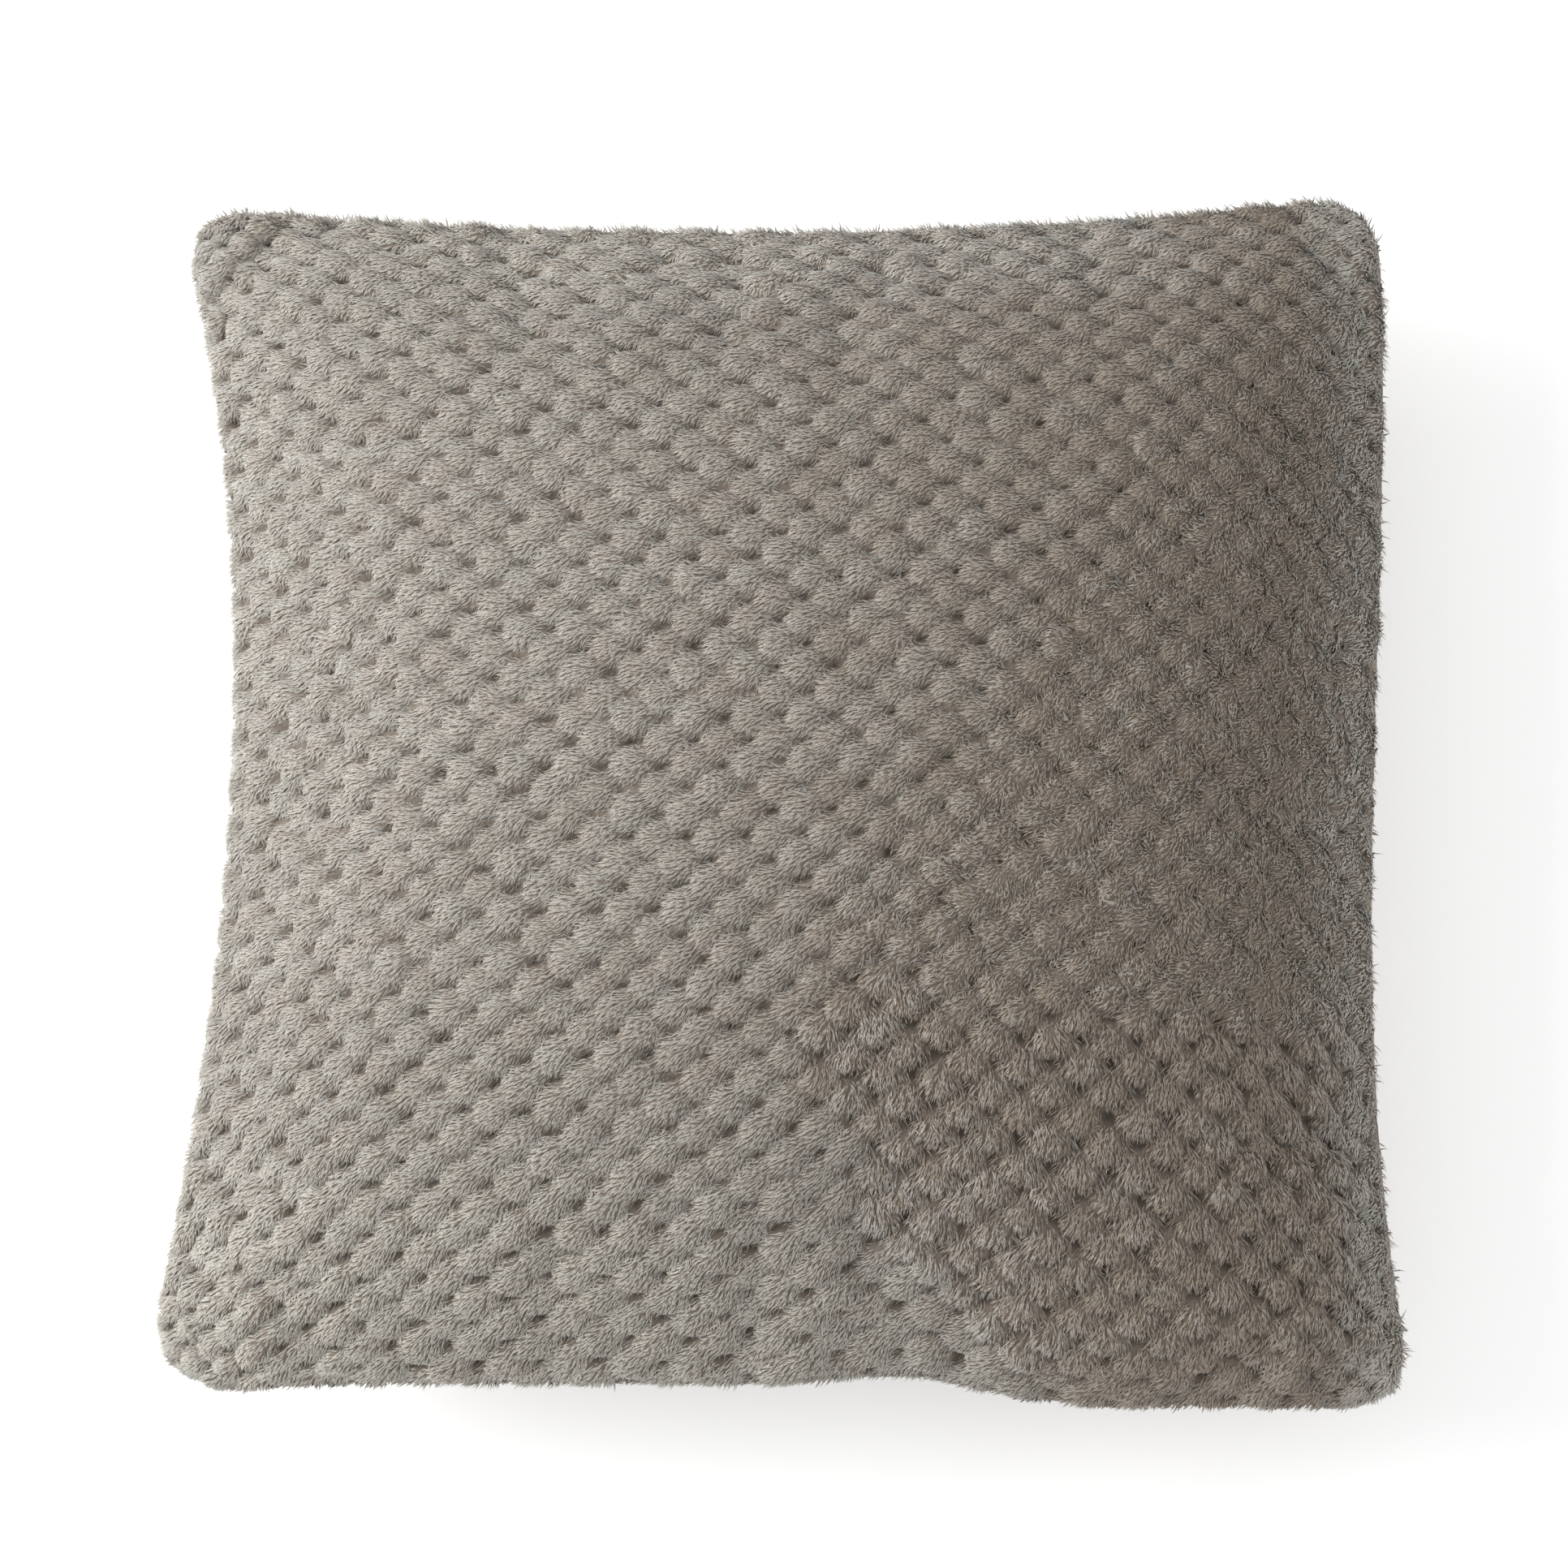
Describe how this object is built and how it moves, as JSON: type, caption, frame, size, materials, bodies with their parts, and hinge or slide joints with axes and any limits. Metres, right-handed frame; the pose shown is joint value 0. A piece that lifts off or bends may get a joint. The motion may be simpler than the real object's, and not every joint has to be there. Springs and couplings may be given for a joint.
{
  "type": "throw pillow",
  "caption": "Square knife-edge throw pillow: tufted plush cover with a hidden zip, over a fibre-filled insert.",
  "frame": {"origin": "middle of the pillow's footprint, on the plane it rests on when it lies on its back", "axes": "+X along the width to the right as the front is seen, +Y to the top edge, +Z out of the front, through the thickness"},
  "size_m": [0.4474, 0.4473, 0.1385],
  "materials": {
    "plush": "tufted plush fleece",
    "thread": "spun polyester thread",
    "zip_tape": "woven tape",
    "zip_coil": "satin nylon",
    "zip_metal": "satin",
    "slider_enamel": "satin enamel",
    "insert_cloth": "non-woven",
    "insert_thread": "spun polyester thread",
    "polyester_fibre": "loose staple fibre"
  },
  "bodies": {
    "cushion": {"cover_front_panel": "plush", "cover_back_panel": "plush", "cover_seam_needle_thread": "thread", "cover_seam_bobbin_thread": "thread", "zip_tape_front": "zip_tape", "zip_tape_back": "zip_tape", "zip_coil_front": "zip_coil", "zip_coil_back": "zip_coil", "zip_stitching_front": "thread", "zip_stitching_back": "thread", "zip_top_stop_front": "zip_metal", "zip_top_stop_back": "zip_metal", "zip_bottom_stop": "zip_metal", "zip_bar_tack_right": "thread", "zip_bar_tack_left": "thread", "insert_front_shell": "insert_cloth", "insert_back_shell": "insert_cloth", "insert_seam_thread": "insert_thread", "insert_closing_thread": "insert_thread", "fibre_fill": "polyester_fibre"},
    "slider": {"zip_slider": "slider_enamel"},
    "pull_tab": {"zip_pull_tab": "slider_enamel"}
  },
  "joints": [
    {"name": "zip_slide", "type": "slide", "parent": "cushion", "child": "slider", "axis": [-1, 0, 0], "range_m": [0, 0.327]},
    {"name": "pull_tab_swing", "type": "hinge", "parent": "slider", "child": "pull_tab", "pos_m": [0.1647, -0.2125, 0.0605], "axis": [0, 0, 1], "range_deg": [0, 150]}
  ]
}
